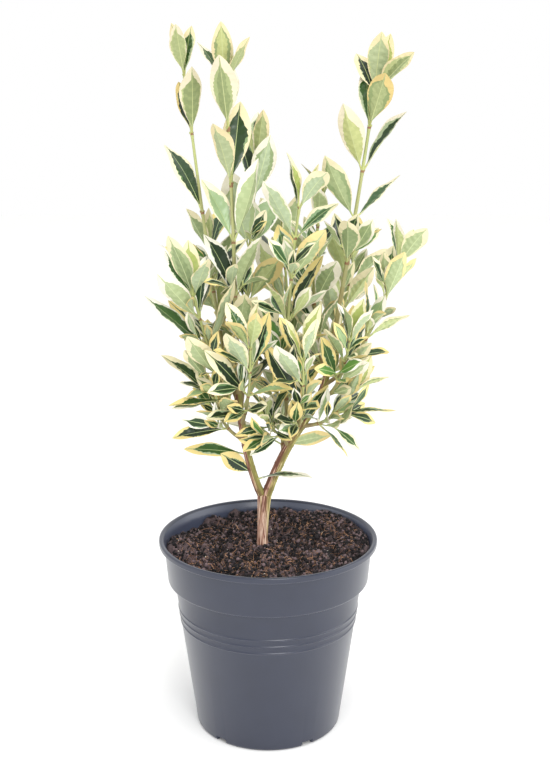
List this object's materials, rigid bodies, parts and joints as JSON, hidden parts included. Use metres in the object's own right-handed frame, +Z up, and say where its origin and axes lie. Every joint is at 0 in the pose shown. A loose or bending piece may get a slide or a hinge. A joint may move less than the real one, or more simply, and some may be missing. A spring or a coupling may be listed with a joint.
{
  "type": "potted euonymus shrub",
  "caption": "Young variegated evergreen shrub with a forked woody trunk and upright leafy shoots, growing in soil in a round collared plastic pot.",
  "frame": {"origin": "centre of the pot's flat underside", "axes": "+Z up, -Y towards the viewer of the picture, +X to that viewer's right"},
  "size_m": [0.2275, 0.1968, 0.6029],
  "materials": {
    "pot": "moulded slate-grey plastic, satin",
    "soil": "moist dark potting compost",
    "bark": "young brown bark, matt",
    "leaf": "leathery leaf, green with cream margins"
  },
  "bodies": {
    "root": {"bough_left": "bark", "bough_right": "bark", "bough_right_upper": "bark", "low_leaf_fork": "leaf", "low_leaf_left": "leaf", "low_leaf_oval": "leaf", "pot": "pot", "shoot_back_centre": "leaf", "shoot_back_left": "leaf", "shoot_back_low": "leaf", "shoot_back_right": "leaf", "shoot_centre": "leaf", "shoot_centre_low": "leaf", "shoot_centre_right": "leaf", "shoot_front_centre": "leaf", "shoot_front_left": "leaf", "shoot_left_back": "leaf", "shoot_left_inner": "leaf", "shoot_left_low": "leaf", "shoot_left_side": "leaf", "shoot_left_tall": "leaf", "shoot_right_low": "leaf", "shoot_right_mid": "leaf", "shoot_right_side": "leaf", "shoot_right_tall": "leaf", "soil": "soil", "trunk": "bark"}
  },
  "joints": []
}
